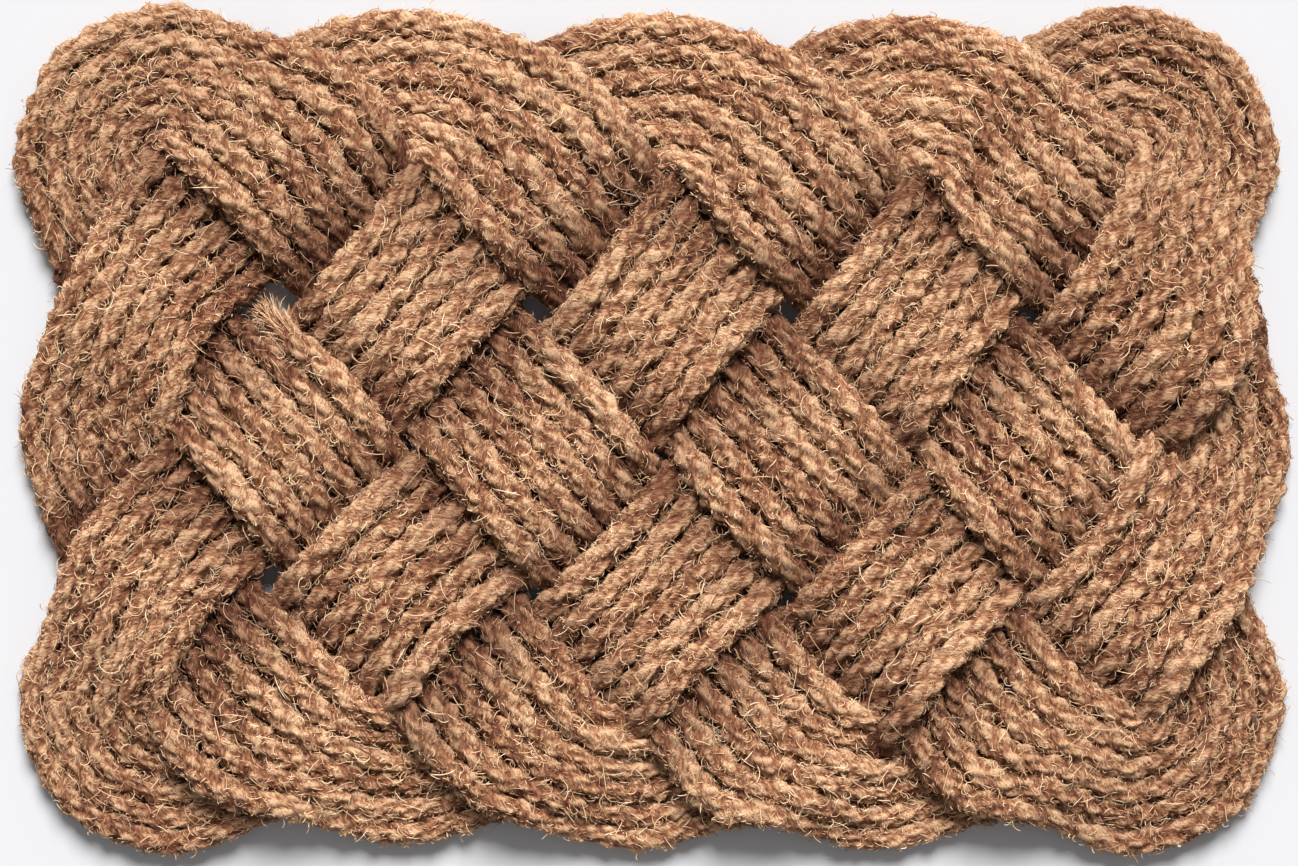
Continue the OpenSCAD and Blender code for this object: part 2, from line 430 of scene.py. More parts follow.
class Rope:
    """The rope's middle line at an even spacing, with its directions and its surface."""

    def __init__(self, rng):
        self.u = even_track(RING_STEP)
        self.s = np.arange(len(self.u)) * RING_STEP
        place, self.lap = track_place(self.u)
        self.points = strayed(place, resting_height(self.u), self.s, rng)
        self.along = directions(self.points)
        self.left = level_left(self.along)
        self.up = np.cross(self.along, self.left)
        outline = surface_radius(self.s, rng)
        paler = wander(self.s, PALER_STRETCHES, rng)
        # The crest sets the painted shade of the pits and the painted light of the yarns' tops, and adds
        # paler stretches of the coir
        self.crest = (outline - PIT_R) / (CREST_R - PIT_R) + paler[:, None]
        whole = FRAYED_SHARE + (1 - FRAYED_SHARE) * np.clip(self.s / FRAY_LENGTH, 0, 1)
        room = FULLNESS * band_room(self.u)
        self.radius = outline * whole[:, None] * room[:, None]
        # Painted shade from a crossing band, on the upper side where the rope dives under it and on the
        # lower one where it climbs over it
        self.dive = near_crossing(self.u, over=False)
        self.climb = near_crossing(self.u, over=True)
        # Painted shade in the bights at the mat's ends
        self.end_shade = END_PAINTED_SHADE * near_end(self.u)

    def faces_lap(self, ring, angle):
        """Whether that side of the rope faces the next lap, and not the outside of its band."""
        lap = self.lap[ring]
        return np.where(np.cos(angle) > 0, lap > 0, lap < LAPS - 1)

    def depth(self, ring, angle):
        """How much shade is painted on that place: between laps, against a crossing band and in the bights
        at the ends.
        """
        gap = GAP_PAINTED_SHADE * (1 - np.abs(np.sin(angle))) ** GAP_POWER
        gap = gap * np.where(self.faces_lap(ring, angle), 1, OUTSIDE_SHARE)
        upper = np.clip(0.5 + FACE_BLEND * np.sin(angle), 0, 1)
        crossing_shade = upper * self.dive[ring] + (1 - upper) * self.climb[ring]
        return np.clip(gap + crossing_shade + self.end_shade[ring], 0, DARKEST_PAINTED_SHADE)

    def rise(self, ring, angle):
        """How high the yarns stand there: about 0 in the pits between them, and 1 on their tops."""
        return np.clip(self.crest[ring, side_at(angle)], 0, 1)

    def surface(self, ring, angle, lift):
        """Points at that ring (a fraction is allowed) and angle, lift above the surface, and the way out."""
        ring = np.clip(ring, 0, len(self.s) - 1 - RING_MARGIN)
        i = np.floor(ring).astype(int)
        f = (ring - i)[..., None]
        middle = self.points[i] * (1 - f) + self.points[i + 1] * f
        out = self.left[i] * np.cos(angle)[..., None] + self.up[i] * np.sin(angle)[..., None]
        r = self.radius[i, side_at(angle)] + lift
        return middle + out * r[..., None], out


def strayed(place, height, s, rng):
    """The rope's middle line in space, straying a little sideways and up and down on its way."""
    flat = np.column_stack([place, np.zeros(len(s))])
    sway = sum(wander(s, change, rng) for change in SWAYS)
    lift = sum(wander(s, change, rng) for change in LIFTS)
    points = np.column_stack([place, height]) + level_left(directions(flat)) * sway[:, None]
    points[:, 2] += lift
    return points


def unit(vectors):
    """The same directions, with length 1."""
    return vectors / np.linalg.norm(vectors, axis=-1, keepdims=True)


def directions(points):
    """The way that a line of points goes at each of them."""
    return unit(np.gradient(points, axis=0))


def level_left(along):
    """Unit vectors to the left of each direction, level with the floor."""
    return unit(np.column_stack([-along[:, 1], along[:, 0], np.zeros(len(along))]))


def side_at(angle):
    """The number of the rope's side that faces that way."""
    return np.floor(angle / tau * SIDES).astype(int) % SIDES


def at_steps(u, values):
    """values, one for each step of the track, read at u."""
    return np.interp(u, np.arange(STEPS), np.array(values, float), period=STEPS)


def band_room(u):
    """How much room each lap has at u: over 1 where its band spreads, and under 1 where it is tight."""
    places = [grid(k) for k in range(STEPS)]
    return at_steps(u, [bight(g)[3] if is_edge(g) else crossing(g)[1] for g in places])


def near_end(u):
    """1 in the bights at the mat's corners and its two short sides, which get painted shade, and 0 away."""
    return at_steps(u, [is_corner(k) or grid(k)[0] in (0, COLUMNS) for k in range(STEPS)])


def near_crossing(u, over):
    """1 close to a crossing where the rope is over (or under), and 0 well away from one."""
    met = [k for k in range(STEPS) if not is_edge(grid(k)) and is_over(k) == over]
    apart = steps_apart(u[:, None], met).min(axis=1)
    return np.clip((COVERED_FROM - apart) / COVERED_STEPS, 0, 1) ** COVERED_POWER


def surface_radius(s, rng):
    """The rope's radius at each ring (rows) and side (columns): the outline of its twisted yarns."""
    reach = np.full((len(s), SIDES), CORE_R)
    for strand in range(STRANDS):
        strand_turn = tau * (s / ROPE_LAY + strand / STRANDS) + wander(s, STRAND_DRIFT, rng)
        for yarn in range(YARNS):
            yarn_turn = tau * (yarn / YARNS - s / YARN_LAY) + wander(s, YARN_DRIFT, rng)
            x = STRAND_OUT * np.cos(strand_turn) + YARN_OUT * np.cos(yarn_turn)
            y = STRAND_OUT * np.sin(strand_turn) + YARN_OUT * np.sin(yarn_turn)
            r = YARN_R * (1 + wander(s, YARN_LUMPS, rng))
            reach = np.maximum(reach, yarn_reach(x, y, r))
    reach *= 1 + wander(s, THICKER_STRETCHES, rng)[:, None]
    return reach + GRAIN * surface_grain(reach.shape, rng)


def yarn_reach(x, y, r):
    """How far out a yarn of that radius with its middle at (x, y) comes on each side of each ring."""
    out = np.hypot(x, y)[:, None]
    turn = SIDE_ANGLES - np.arctan2(y, x)[:, None]
    inside = r[:, None] ** 2 - (out * np.sin(turn)) ** 2
    hit = out * np.cos(turn) + np.sqrt(np.maximum(inside, 0))
    return np.where((inside > 0) & (np.cos(turn) > 0), hit, 0)


def surface_grain(shape, rng):
    """Random roughness, smoothed a little along the rope and round it."""
    grain = smooth(rng.normal(0, 1, shape), GRAIN_WIDTH)
    return (grain + 0.5 * (np.roll(grain, 1, axis=1) + np.roll(grain, -1, axis=1))) / 2


# ---- Mesh building ----


def new_mesh(name, points, faces, attributes=()):
    """An object of those points and faces, with one float or vector attribute per point for each named."""
    mesh = bpy.data.meshes.new(name)
    mesh.from_pydata(points, [], faces)
    for label, values in attributes:
        kind = "FLOAT" if values.ndim == 1 else "FLOAT_VECTOR"
        field = "value" if values.ndim == 1 else "vector"
        mesh.attributes.new(label, kind, "POINT").data.foreach_set(field, values.ravel())
    mesh.polygons.foreach_set("use_smooth", [True] * len(mesh.polygons))
    mesh.update()
    piece = bpy.data.objects.new(name, mesh)
    bpy.context.scene.collection.objects.link(piece)
    return piece


def tube_faces(rings, sides, closed=False):
    """Quads between rings of points that follow each other, and back to the first ring if closed."""
    i = np.arange(rings if closed else rings - 1)[:, None]
    j = np.arange(sides)[None]
    near = i * sides
    far = (i + 1) % rings * sides
    k = (j + 1) % sides
    return np.stack([near + j, near + k, far + k, far + j], axis=-1).reshape(-1, 4)


def capped_tube_faces(rings, sides):
    """Quads and triangles of a tube whose points end with the middles of its start and its end."""
    j = np.arange(sides)
    k = (j + 1) % sides
    count = rings * sides
    last = count - sides
    start = np.stack([np.full(sides, count), k, j], axis=1)
    end = np.stack([np.full(sides, count + 1), last + j, last + k], axis=1)
    return tube_faces(rings, sides), np.concatenate([start, end])


# ---- The laps of the rope ----


def lap_points(rope, rings):
    """The rope's surface at those rings, kept above the floor, and the middles of the two ends."""
    out = (
        rope.left[rings][:, None] * np.cos(SIDE_ANGLES)[:, None]
        + rope.up[rings][:, None] * np.sin(SIDE_ANGLES)[:, None]
    )
    points = rope.points[rings][:, None] + out * rope.radius[rings][..., None]
    points[..., 2] = np.maximum(points[..., 2], 0)
    return np.concatenate([points.reshape(-1, 3), rope.points[rings[[0, -1]]]])


def lap_lay(rope, rings):
    """Place of each point in the untwisted rope in millimetres, for textures that follow the strands."""
    r = rope.radius[rings]
    along = np.broadcast_to(rope.s[rings][:, None], r.shape)
    angle = SIDE_ANGLES - tau * along / ROPE_LAY
    lay = np.stack([along, r * np.cos(angle), r * np.sin(angle)], axis=-1)
    ends = np.zeros((2, 3))
    ends[:, 0] = rope.s[rings[[0, -1]]]
    return np.concatenate([lay.reshape(-1, 3), ends]) / MM


def rope_piece(rope, lap, material):
    """One lap of the rope as a closed tube with the outline of its yarns."""
    rings = np.where(rope.lap == lap)[0]
    if lap < LAPS - 1:
        rings = np.append(rings, rings[-1] + 1)
    # Painted shade where shade falls on the lap, darkening its colour
    depth = rope.depth(rings[:, None], SIDE_ANGLES[None])
    quads, caps = capped_tube_faces(len(rings), SIDES)
    attributes = [
        ("lay", lap_lay(rope, rings)),
        ("rise", np.append(rope.crest[rings], [0, 0])),
        ("depth", np.append(depth, [1, 1])),
    ]
    name = f"coir_rope_lap_{lap + 1}"
    piece = new_mesh(name, lap_points(rope, rings), quads.tolist() + caps.tolist(), attributes)
    piece.data.materials.append(material)
    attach(piece, "root")
    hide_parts(f"rope_lap_{lap + 1}")


# ---- Fibres ----

FIBRE_SIDES = 3
UPRIGHT_GUARD = 1e-6

# Angles round the rope between which short and flat fibres grow
FACE_ANGLES = (-0.15 * pi, 1.15 * pi)

# Ranges are (least, most), except HAIR_HEADING (middle, spread) and the gamma spreads HAIR_HEIGHT
# and LOOSE_EXTRA (shape, scale). A hair has three points: HAIR_STEPS are the shares of its length
# up to each of them from the one before, and HAIR_PROFILE their shares of its height
HAIRS_PER_LAP = 16500
HAIR_LENGTH = (1.8 * MM, 4.5 * MM)
HAIR_THICKNESS = (0.3 * MM, 0.5 * MM)
HAIR_HEADING = (0.3, 0.7)
HAIR_BEND = 0.7
HAIR_STEPS = (0, 0.5, 0.5)
HAIR_HEIGHT = (2, 0.5 * MM)
HAIR_PROFILE = (-0.2, 0.6, 1.0)
HAIR_OWN_TONE = 0.55

FLAT_FIBRES_PER_LAP = 2600
FLAT_POINTS = 4
FLAT_LENGTH = (3 * MM, 9 * MM)
FLAT_THICKNESS = (0.25 * MM, 0.45 * MM)
FLAT_SLANT = 0.75
FLAT_BEND = 1.1
FLAT_HEIGHT = (0.1 * MM, 1.5 * MM)
FLAT_ROOT = 0.1 * MM
FLAT_ARCH = (0.5, 1.1)
FLAT_OWN_TONE = 0.6

LOOSE_FIBRES_PER_LAP = 7800
CURL_POINTS = 6
LOOSE_REACH = 0.52 * pi
LOOSE_TO_SIDES = 0.65
LOOSE_ROOT = 0.3 * MM
LOOSE_CLIMB = (0.1, 0.9)
SHORTEST_LOOSE = 3 * MM
LOOSE_EXTRA = (2, 2.8 * MM)
LONGEST_LOOSE = 17 * MM
OUTSIDE_LENGTH = 0.5
LOOSE_CURL = 3.6
LOOSE_PULL = 0.14
LOOSE_THICKNESS = (0.28 * MM, 0.48 * MM)
LOOSE_TONE = (0.35, 1.15)
# Share of the rope's painted shade that the loose fibres carry
LOOSE_PAINTED_SHADE = 0.75

FRAYED_FIBRES = 260
FRAYED_ROOT = 1.5 * MM
FRAYED_SPLAY = (0.1, 0.6)
FRAYED_STRAY = 0.15
FRAYED_LENGTH = (8 * MM, 18 * MM)
FRAYED_CURL = 1.2
FRAYED_THICKNESS = (0.25 * MM, 0.45 * MM)
FRAYED_TONE = (0.1, 0.8)

# Fibres bend over above FUZZ_FROM, and reach at most FUZZ_REACH further
FUZZ_FROM = 29 * MM
FUZZ_REACH = 6 * MM
LOWEST_FIBRE = 0.3 * MM


def fibre_walls(paths, thickness):
    """Rings of points round the fibres at all points of their paths except the two tips."""
    along = np.gradient(paths, axis=1)[:, 1:-1]
    along /= np.linalg.norm(along, axis=2)[..., None] + TINY
    side = unit(np.cross(along, [0, 0, 1.0]) + UPRIGHT_GUARD)
    other = np.cross(side, along)
    angle = np.arange(FIBRE_SIDES) * tau / FIBRE_SIDES
    wheel = side[:, :, None] * np.cos(angle)[:, None] + other[:, :, None] * np.sin(angle)[:, None]
    walls = paths[:, 1:-1, None] + wheel * (thickness / 2)[:, None, None, None]
    return walls.reshape(len(paths), -1, 3)


def fibre_mesh(name, paths, thickness, tone, depth, material):
    """Closed thin tubes along paths, an array of fibres by points by 3, tapering to a point at each end."""
    count, rings = paths.shape[:2]
    points = np.concatenate([fibre_walls(paths, thickness), paths[:, :1], paths[:, -1:]], axis=1)
    per_fibre = points.shape[1]
    first = (np.arange(count) * per_fibre)[:, None, None]
    quads, caps = capped_tube_faces(rings - 2, FIBRE_SIDES)
    faces = (quads + first).reshape(-1, 4).tolist() + (caps + first).reshape(-1, 3).tolist()
    # Each fibre's tone, and the painted shade of the rope where it grows
    attributes = [("tone", np.repeat(tone, per_fibre)), ("depth", np.repeat(depth, per_fibre))]
    piece = new_mesh(name, points.reshape(-1, 3), faces, attributes)
    piece.data.materials.append(material)
    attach(piece, "root")


def over_surface(rope, ring, angle, headings, steps, lift):
    """Paths over the rope's surface from that ring and angle, with a step along each heading in turn."""
    forward = np.cumsum(np.cos(headings) * steps, axis=1)
    around = np.cumsum(np.sin(headings) * steps, axis=1)
    ring = ring[:, None] + forward / RING_STEP
    angle = angle[:, None] + around / ROPE_R
    paths, _ = rope.surface(ring, angle, lift)
    return paths


def surface_tone(rope, ring, angle, own, rng):
    """Tones of which the share own is each fibre's own, and the rest is that of the yarn below, painted
    shade of its pits included.
    """
    return own * rng.uniform(0, 1, len(ring)) + (1 - own) * rope.rise(ring, angle)


def hairs(rope, rings, count, rng):
    """Short stiff hairs all over the rope's face, most of them roughly along it, bent in the middle."""
    ring = rng.uniform(rings[0], rings[-1], count)
    angle = rng.uniform(*FACE_ANGLES, count)
    length = rng.uniform(*HAIR_LENGTH, count)
    heading = rng.normal(*HAIR_HEADING, count)
    bend = rng.normal(0, HAIR_BEND, count)
    headings = np.stack([heading, heading, heading + bend], axis=1)
    steps = length[:, None] * HAIR_STEPS
    lift = rng.gamma(*HAIR_HEIGHT, count)[:, None] * HAIR_PROFILE
    paths = over_surface(rope, ring, angle, headings, steps, lift)
    root = ring.astype(int)
    tone = surface_tone(rope, root, angle, HAIR_OWN_TONE, rng)
    thickness = rng.uniform(*HAIR_THICKNESS, count)
    return paths, thickness, tone, rope.depth(root, angle)


def flat_fibres(rope, rings, count, rng):
    """Fibres that lie along the rope's surface, lifting a little off it in the middle or at one end."""
    ring = rng.uniform(rings[0], rings[-1], count)
    angle = rng.uniform(*FACE_ANGLES, count)
    length = rng.uniform(*FLAT_LENGTH, count)
    slant = rng.normal(0, FLAT_SLANT, count)
    bend = rng.normal(0, FLAT_BEND, count)
    height = rng.uniform(*FLAT_HEIGHT, count)
    t = np.linspace(0, 1, FLAT_POINTS)
    headings = slant[:, None] + bend[:, None] * t
    steps = length[:, None] / (FLAT_POINTS - 1)
    arch = rng.uniform(*FLAT_ARCH, count)
    lift = FLAT_ROOT + height[:, None] * np.sin(pi * t * arch[:, None])
    paths = over_surface(rope, ring, angle, headings, steps, lift)
    root = ring.astype(int)
    tone = surface_tone(rope, root, angle, FLAT_OWN_TONE, rng)
    thickness = rng.uniform(*FLAT_THICKNESS, count)
    return paths, thickness, tone, rope.depth(root, angle)


def loose_fibres(rope, rings, count, rng):
    """Fibres that spring out of the rope in curls, more of them from its sides than from its crown."""
    ring = rng.uniform(rings[0], rings[-1], count)
    lean = rng.uniform(-1, 1, count)
    angle = pi / 2 + LOOSE_REACH * np.sign(lean) * np.abs(lean) ** LOOSE_TO_SIDES
    start, out = rope.surface(ring, angle, -LOOSE_ROOT)
    root = ring.astype(int)
    around = np.cross(rope.along[root], out)
    heading = rng.uniform(0, tau, count)[:, None]
    flat = rope.along[root] * np.cos(heading) + around * np.sin(heading)
    climb = rng.uniform(*LOOSE_CLIMB, count)[:, None]
    d = flat * np.cos(climb) + out * np.sin(climb)
    axis = np.cross(d, out) * rng.choice([-1, 1], count)[:, None]
    axis = axis * rng.uniform(0, 1, count)[:, None] + out * rng.normal(0, 1, count)[:, None]
    length = np.minimum(rng.gamma(*LOOSE_EXTRA, count) + SHORTEST_LOOSE, LONGEST_LOOSE)
    length *= np.where(rope.faces_lap(root, angle), 1, OUTSIDE_LENGTH)
    paths = curled(start, d, axis, length, rng.normal(0, LOOSE_CURL, count), out * LOOSE_PULL)
    tone = rng.uniform(*LOOSE_TONE, count)
    thickness = rng.uniform(*LOOSE_THICKNESS, count)
    return paths, thickness, tone, LOOSE_PAINTED_SHADE * rope.depth(root, angle)


def curled(start, d, axis, length, curl, pull):
    """Paths from start that set off along d, turn by curl about axis and bend away from pull."""
    axis = unit(axis)
    step = (length / (CURL_POINTS - 1))[:, None]
    paths = [start]
    for _ in range(CURL_POINTS - 1):
        paths.append(paths[-1] + d * step)
        d = unit(d + np.cross(axis, d) * (curl / (CURL_POINTS - 1))[:, None] - pull)
    return np.stack(paths, axis=1)


def frayed_fibres(rope, count, rng):
    """The rope's start, come apart into fibres that splay out of the end."""
    ring = rng.uniform(0, FRAY_LENGTH / RING_STEP, count)
    start, out = rope.surface(ring, rng.uniform(0, tau, count), -FRAYED_ROOT)
    d = -rope.along[ring.astype(int)] + out * rng.uniform(*FRAYED_SPLAY, count)[:, None]
    d = unit(d + rng.normal(0, FRAYED_STRAY, (count, 3)))
    length = rng.uniform(*FRAYED_LENGTH, count)
    axis = rng.normal(0, 1, (count, 3))
    paths = curled(start, d, axis, length, rng.normal(0, FRAYED_CURL, count), pull=0)
    thickness = rng.uniform(*FRAYED_THICKNESS, count)
    return paths, thickness, rng.uniform(*FRAYED_TONE, count), np.zeros(count)


def keep_low(paths):
    """Bends the fibres over where they stand too far above the mat, and keeps them off the floor."""
    above = np.maximum(paths[..., 2] - FUZZ_FROM, 0) / FUZZ_REACH
    paths[..., 2] += FUZZ_REACH * (1 - np.exp(-above) - above)
    paths[..., 2] = np.maximum(paths[..., 2], LOWEST_FIBRE)


def fuzz_pieces(rope, lap, material, rng):
    """The fibres of one lap, as one piece for each kind."""
    rings = np.where(rope.lap == lap)[0]
    kinds = {
        "short": hairs(rope, rings, HAIRS_PER_LAP, rng),
        "flat": flat_fibres(rope, rings, FLAT_FIBRES_PER_LAP, rng),
        "loose": loose_fibres(rope, rings, LOOSE_FIBRES_PER_LAP, rng),
    }
    if lap == 0:
        kinds["frayed"] = frayed_fibres(rope, FRAYED_FIBRES, rng)
    for kind, (paths, thickness, tone, depth) in kinds.items():
        keep_low(paths)
        fibre_mesh(f"{kind}_fibres_lap_{lap + 1}", paths, thickness, tone, depth, material)


# ---- Lashings ----

LASHING_TURNS = 3
LASHING_SAMPLES = 300
TURN_PITCH = 1.9 * TWINE_R
TURN_LEAN = 0.6 * TWINE_R
TWINE_OUT = 0.8 * TWINE_R
TWINE_SIDES = 12
TWINE_LAY = 6 * MM

# Radius of the twine in the groove between its two plies, as a share of its full radius
GROOVE = 0.78


def lashing_piece(rope, name, k, material):
    """Turns of two-ply twine round the laps where they pass under the crossing at step k."""
    passes = [lap * STEPS + k for lap in range(LAPS + 1)]
    near = [int(np.argmin(np.abs(rope.u - u))) for u in passes if ROPE_START <= u <= ROPE_FINISH]
    near = near[-LAPS:]
    middle = rope.points[near].mean(axis=0)
    along = unit(rope.along[near].mean(axis=0) * [1, 1, 0])
    left = np.array([-along[1], along[0], 0])
    across = (rope.points[near] - middle) @ left
    half = (across.max() - across.min()) / 2
    centre = middle + left * (across.max() + across.min()) / 2
    r = ROPE_R + TWINE_OUT
    run = np.linspace(0, 1, LASHING_SAMPLES, endpoint=False) * (4 * half + tau * r)
    y, z = stadium(run, half, r)
    faces = tube_faces(LASHING_SAMPLES, TWINE_SIDES, closed=True)
    all_points, all_faces = [], []
    for turn in range(LASHING_TURNS):
        shift = (turn - (LASHING_TURNS - 1) / 2) * TURN_PITCH
        lean = TURN_LEAN * np.sin(tau * run / run[-1] + turn)
        path = centre + left * y[:, None] + along * (shift + lean)[:, None]
        path[:, 2] = centre[2] + z
        all_points.append(twine_points(path, run[-1]))
        all_faces.append(faces + turn * LASHING_SAMPLES * TWINE_SIDES)
    points = np.concatenate(all_points)
    points[:, 2] = np.maximum(points[:, 2], 0)
    piece = new_mesh(f"twine_{name}", points, np.concatenate(all_faces).tolist())
    piece.data.materials.append(material)
    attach(piece, "root")
    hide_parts(name)


def stadium(run, half, r):
    """Points round a flat oval with straight sides of 2 * half and round ends of that radius."""
    side = 2 * half
    bend = pi * r
    y, z = np.zeros_like(run), np.zeros_like(run)
    top = run < side
    y[top], z[top] = half - run[top], r
    left_end = (run >= side) & (run < side + bend)
    a = (run[left_end] - side) / r
    y[left_end], z[left_end] = -half - r * np.sin(a), r * np.cos(a)
    under = (run >= side + bend) & (run < 2 * side + bend)
    y[under], z[under] = run[under] - side - bend - half, -r
    right_end = run >= 2 * side + bend
    a = (run[right_end] - 2 * side - bend) / r
    y[right_end], z[right_end] = half + r * np.sin(a), -r * np.cos(a)
    return y, z


def twine_points(path, length):
    """Rings of points with the outline of two twisted plies round a closed path of that length."""
    ahead = unit(np.roll(path, -1, axis=0) - np.roll(path, 1, axis=0))
    side = unit(np.cross(ahead, path.mean(axis=0) - path))
    other = np.cross(side, ahead)
    angle = np.arange(TWINE_SIDES) * tau / TWINE_SIDES
    twist = tau * round(length / TWINE_LAY) * np.arange(len(path)) / len(path)
    r = TWINE_R * (GROOVE + (1 - GROOVE) * np.abs(np.cos(angle - twist[:, None])))
    ring = (
        path[:, None]
        + side[:, None] * (np.cos(angle) * r)[..., None]
        + other[:, None] * (np.sin(angle) * r)[..., None]
    )
    return ring.reshape(-1, 3)


# ---- Materials ----

# Inputs and outputs that can only be told apart by number
MATH_FACTOR, MATH_ADDED = 1, 2
MIX_SHARE, MIX_FROM, MIX_WITH, MIX_RESULT = 0, 6, 7, 2

# Colours as they show on a screen, each from 0 to 255. The tones named are those that get the
# darkest and the lightest colour, and the painted shade colour is what the most shaded places are multiplied
# by
COIR_DARK = (90, 45, 30)
COIR_MID = (172, 117, 83)
COIR_LIGHT = (238, 192, 150)
COIR_TONES = (0.38, 1.53)
PAINTED_SHADE_COLOUR = (0.3, 0.215, 0.19, 1)

# Scales along and across the rope, for each millimetre of it
LUMP_SCALE = (0.34, 0.5, 0.5)
STREAK_SCALE = (0.4, 1.7, 1.7)
FINE_SCALE = (0.9, 1.6, 1.6)
LUMP_TURN = 0.3
FINE_TURN = 0.6

# How much each of them counts: in the height of the surface first, and then in its tone
FINE_HEIGHT = 0.8
LUMP_HEIGHT = -0.8
RISE_TONE = 0.7
LUMP_TONE = 0.12
PATCH_TONE = 0.25

FIBRE_DARK = (84, 45, 32)
FIBRE_MID = (168, 115, 83)
FIBRE_LIGHT = (240, 194, 150)
FIBRE_PALE = (255, 230, 192)
FIBRE_TONES = (0.0, 1.4)
MOTTLE_TONE = 0.5

TWINE_DARK = (130, 95, 60)
TWINE_LIGHT = (214, 178, 128)


def new_material(name, roughness, shine=0.5):
    """A plain material, as (material, nodes, links, shader)."""
    material = bpy.data.materials.new(name)
    material.use_nodes = True
    nodes = material.node_tree.nodes
    shader = nodes["Principled BSDF"]
    shader.inputs["Roughness"].default_value = roughness
    shader.inputs["Specular IOR Level"].default_value = shine
    return material, nodes, material.node_tree.links, shader


def add(nodes, kind, **values):
    """A shader node of that kind with its settings, and its inputs named in_Something, set."""
    made = nodes.new(kind)
    for key, value in values.items():
        if key.startswith("in_"):
            made.inputs[key[3:].replace("_", " ")].default_value = value
        else:
            setattr(made, key, value)
    return made


def stored(nodes, label):
    """The attribute of that name that is stored with the mesh."""
    return add(nodes, "ShaderNodeAttribute", attribute_name=label).outputs


def texture(nodes, links, place, kind, **values):
    """The outputs of a texture of that kind laid out by place."""
    made = add(nodes, kind, **values)
    links.new(place, made.inputs["Vector"])
    return made.outputs


def object_noise(nodes, links, scale, detail):
    """Noise that keeps its place on the object, with that scale for each metre."""
    place = add(nodes, "ShaderNodeTexCoord").outputs["Object"]
    kind = "ShaderNodeTexNoise"
    return texture(nodes, links, place, kind, in_Scale=scale, in_Detail=detail)["Fac"]


def scaled(nodes, links, place, scale, turn=0.0):
    """That place scaled, and turned about its second and third axes."""
    mapping = add(nodes, "ShaderNodeMapping", in_Scale=scale, in_Rotation=(0, turn, turn))
    links.new(place, mapping.inputs["Vector"])
    return mapping.outputs["Vector"]


def weighted(nodes, links, value, weight, others):
    """value times weight, added to the others."""
    made = add(nodes, "ShaderNodeMath", operation="MULTIPLY_ADD")
    made.inputs[MATH_FACTOR].default_value = weight
    links.new(value, made.inputs[0])
    links.new(others, made.inputs[MATH_ADDED])
    return made.outputs["Value"]


def srgb(r, g, b):
    """A colour given from 0 to 255 in the usual screen values, as linear light."""
    shares = [c / 255 for c in (r, g, b)]
    return tuple(c / 12.92 if c <= 0.04045 else ((c + 0.055) / 1.055) ** 2.4 for c in shares)


def coloured(nodes, links, tone, stops):
    """The tone as a colour, through stops of (position, colour)."""
    made = nodes.new("ShaderNodeValToRGB")
    elements = made.color_ramp.elements
    for i, (position, colour) in enumerate(stops):
        element = elements[i] if i < 2 else elements.new(position)
        element.position = position
        element.color = (*srgb(*colour), 1)
    links.new(tone, made.inputs["Fac"])
    return made.outputs["Color"]


def levelled(nodes, links, tone, tones):
    """The tone stretched so that those two tones become 0 and 1."""
    low, high = tones
    made = add(nodes, "ShaderNodeMapRange", in_From_Min=low, in_From_Max=high)
    links.new(tone, made.inputs["Value"])
    return made.outputs["Result"]


def with_painted_shade(nodes, links, colour):
    """That colour, darkened by the painted shade stored with the mesh: shade painted in between the laps,
    next to crossing bands and in the low bights.
    """
    mix = add(nodes, "ShaderNodeMix", data_type="RGBA", blend_type="MULTIPLY")
    mix.inputs[MIX_WITH].default_value = PAINTED_SHADE_COLOUR
    links.new(stored(nodes, "depth")["Fac"], mix.inputs[MIX_SHARE])
    links.new(colour, mix.inputs[MIX_FROM])
    return mix.outputs[MIX_RESULT]


def add_bump(nodes, links, shader, height, distance, strength):
    """Roughens the shader's surface by that height, over that distance in metres."""
    bump = add(nodes, "ShaderNodeBump", in_Strength=strength, in_Distance=distance)
    links.new(height, bump.inputs["Height"])
    links.new(bump.outputs["Normal"], shader.inputs["Normal"])


def coir_height(nodes, links, lumps):
    """The coir's relief: small lumps, with streaks and fine fibres that follow the strands."""
    lay = stored(nodes, "lay")["Vector"]
    noise = "ShaderNodeTexNoise"
    place = scaled(nodes, links, lay, STREAK_SCALE)
    streaks = texture(nodes, links, place, noise, in_Scale=1.0, in_Detail=5.0, in_Roughness=0.65)
    place = scaled(nodes, links, lay, FINE_SCALE, FINE_TURN)
    fine = texture(nodes, links, place, noise, in_Scale=1.0, in_Detail=4.0, in_Roughness=0.7)
    rough = weighted(nodes, links, fine["Fac"], FINE_HEIGHT, streaks["Fac"])
    return weighted(nodes, links, lumps["Distance"], LUMP_HEIGHT, rough)


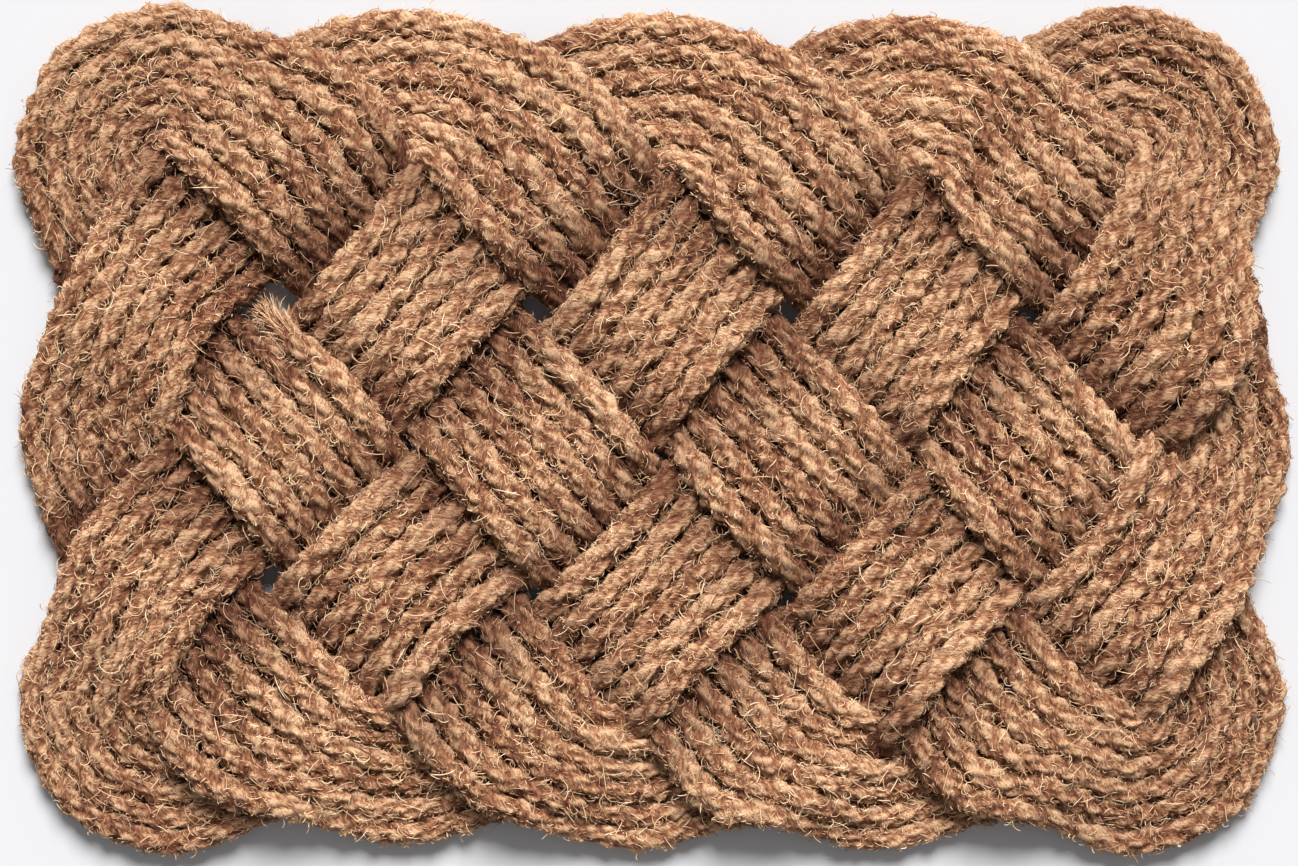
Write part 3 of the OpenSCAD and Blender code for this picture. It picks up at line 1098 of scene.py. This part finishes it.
def coir_material():
    """Spun coir: small pale lumps with fine fibres on them, their tops painted lighter and the pits between
    painted a shaded reddish brown.
    """
    material, nodes, links, shader = new_material("coir", roughness=0.85, shine=0.25)
    place = scaled(nodes, links, stored(nodes, "lay")["Vector"], LUMP_SCALE, LUMP_TURN)
    lumps = texture(nodes, links, place, "ShaderNodeTexVoronoi", in_Scale=1.0, in_Randomness=1.0)
    height = coir_height(nodes, links, lumps)
    add_bump(nodes, links, shader, height, distance=1.3 * MM, strength=1.0)
    patches = object_noise(nodes, links, scale=28.0, detail=2.0)
    # Painted light and shade: lighter on the tops of yarns and lumps and darker in the pits between, besides
    # the coir's own paler stretches and streaks
    tone = weighted(nodes, links, stored(nodes, "rise")["Fac"], RISE_TONE, height)
    tone = weighted(nodes, links, lumps["Color"], LUMP_TONE, tone)
    tone = weighted(nodes, links, patches, PATCH_TONE, tone)
    tone = levelled(nodes, links, tone, COIR_TONES)
    stops = [(0.0, COIR_DARK), (0.5, COIR_MID), (1.0, COIR_LIGHT)]
    colour = with_painted_shade(nodes, links, coloured(nodes, links, tone, stops))
    links.new(colour, shader.inputs["Base Color"])
    return material


def fibre_material():
    """Loose coir fibres, each with its own tone, darkened by painted shade where the rope below is shaded.
    """
    material, nodes, links, shader = new_material("coir_fibre", roughness=0.6, shine=0.3)
    mottle = object_noise(nodes, links, scale=400.0, detail=3.0)
    tone = weighted(nodes, links, mottle, MOTTLE_TONE, stored(nodes, "tone")["Fac"])
    tone = levelled(nodes, links, tone, FIBRE_TONES)
    stops = [(0.0, FIBRE_DARK), (0.3, FIBRE_MID), (0.65, FIBRE_LIGHT), (1.0, FIBRE_PALE)]
    colour = with_painted_shade(nodes, links, coloured(nodes, links, tone, stops))
    links.new(colour, shader.inputs["Base Color"])
    return material


def twine_material():
    """Thin spun twine, a little yellower than the rope."""
    material, nodes, links, shader = new_material("twine", roughness=0.8)
    streaks = object_noise(nodes, links, scale=900.0, detail=4.0)
    colour = coloured(nodes, links, streaks, [(0.3, TWINE_DARK), (0.7, TWINE_LIGHT)])
    links.new(colour, shader.inputs["Base Color"])
    add_bump(nodes, links, shader, streaks, distance=0.2 * MM, strength=0.6)
    return material


# ---- Floor, light and camera ----

FLOOR_REACH = 6.0
FLOOR_COLOUR = (0.526, 0.524, 0.537, 1)

KEY_FROM = (0.5, 5.4, 4.9)
KEY_STRENGTH = 6.5
KEY_SOFTNESS = radians(28)
SURROUND_STRENGTH = 0.33

LENS = 100
SENSOR_WIDTH = 36
NEAREST_SEEN = 10 * MM
VIEW_FROM = (-1.6 * MM, -1.4 * MM, 1.705)


def add_floor():
    """A plain pale floor, far wider than the view."""
    r = FLOOR_REACH
    ground = new_mesh("floor", [(-r, -r, 0), (r, -r, 0), (r, r, 0), (-r, r, 0)], [(0, 1, 2, 3)])
    material, _, _, shader = new_material("floor", roughness=0.9)
    shader.inputs["Base Color"].default_value = FLOOR_COLOUR
    ground.data.materials.append(material)


def add_key_light():
    """A wide soft light from beyond the back edge."""
    light = bpy.data.lights.new("key", "SUN")
    light.energy = KEY_STRENGTH
    light.angle = KEY_SOFTNESS
    lamp = bpy.data.objects.new("key", light)
    lamp.location = KEY_FROM
    lamp.rotation_euler = Vector(KEY_FROM).to_track_quat("Z", "Y").to_euler()
    bpy.context.scene.collection.objects.link(lamp)


def add_surround():
    """Even white light from all round, with colours shown as they are."""
    world = bpy.data.worlds.new("studio")
    bpy.context.scene.world = world
    world.use_nodes = True
    background = world.node_tree.nodes["Background"]
    background.inputs["Color"].default_value = (1, 1, 1, 1)
    background.inputs["Strength"].default_value = SURROUND_STRENGTH
    bpy.context.scene.view_settings.view_transform = "Standard"


def add_camera():
    """A camera that looks straight down."""
    camera = bpy.data.cameras.new("camera")
    camera.lens = LENS
    camera.sensor_width = SENSOR_WIDTH
    camera.clip_start = NEAREST_SEEN
    holder = bpy.data.objects.new("camera", camera)
    holder.location = VIEW_FROM
    bpy.context.scene.collection.objects.link(holder)
    bpy.context.scene.camera = holder


def main():
    rng = np.random.default_rng(SEED)
    add_floor()
    add_surround()
    add_key_light()
    add_camera()
    coir, fibre, twine = coir_material(), fibre_material(), twine_material()
    rope = Rope(rng)
    for lap in range(LAPS):
        rope_piece(rope, lap, coir)
        fuzz_pieces(rope, lap, fibre, rng)
    lashing_piece(rope, "lashing_start", START_LASHING_STEP, twine)
    lashing_piece(rope, "lashing_finish", FINISH_LASHING_STEP, twine)


main()
